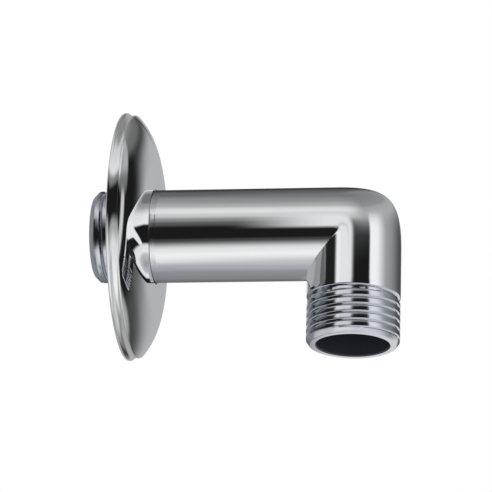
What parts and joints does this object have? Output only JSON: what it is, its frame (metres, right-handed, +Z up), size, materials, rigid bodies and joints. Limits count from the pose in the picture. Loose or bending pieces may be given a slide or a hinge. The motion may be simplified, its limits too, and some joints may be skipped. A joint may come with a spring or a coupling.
{
  "type": "wall outlet elbow",
  "caption": "Chrome wall outlet elbow: straight arm, tight corner and short leg with a male pipe thread at each end, and a domed wall flange that slides on the arm.",
  "frame": {"origin": "on the arm's axis, in the wall plane that the flange's rear rim meets", "axes": "+X along the arm away from the wall, +Z up, the outlet points along -Z"},
  "size_m": [0.0696, 0.0564, 0.0564],
  "materials": {
    "polished_chrome": "bright chrome plate on a polished brass casting, bare cut threads",
    "flange_chrome": "bright chrome plate on pressed sheet"
  },
  "bodies": {
    "elbow": {"elbow_body": "polished_chrome"},
    "flange": {"wall_flange": "flange_chrome"}
  },
  "joints": [
    {"name": "flange_slide", "type": "slide", "parent": "elbow", "child": "flange", "axis": [1, 0, 0], "range_m": [0, 0.034]}
  ]
}
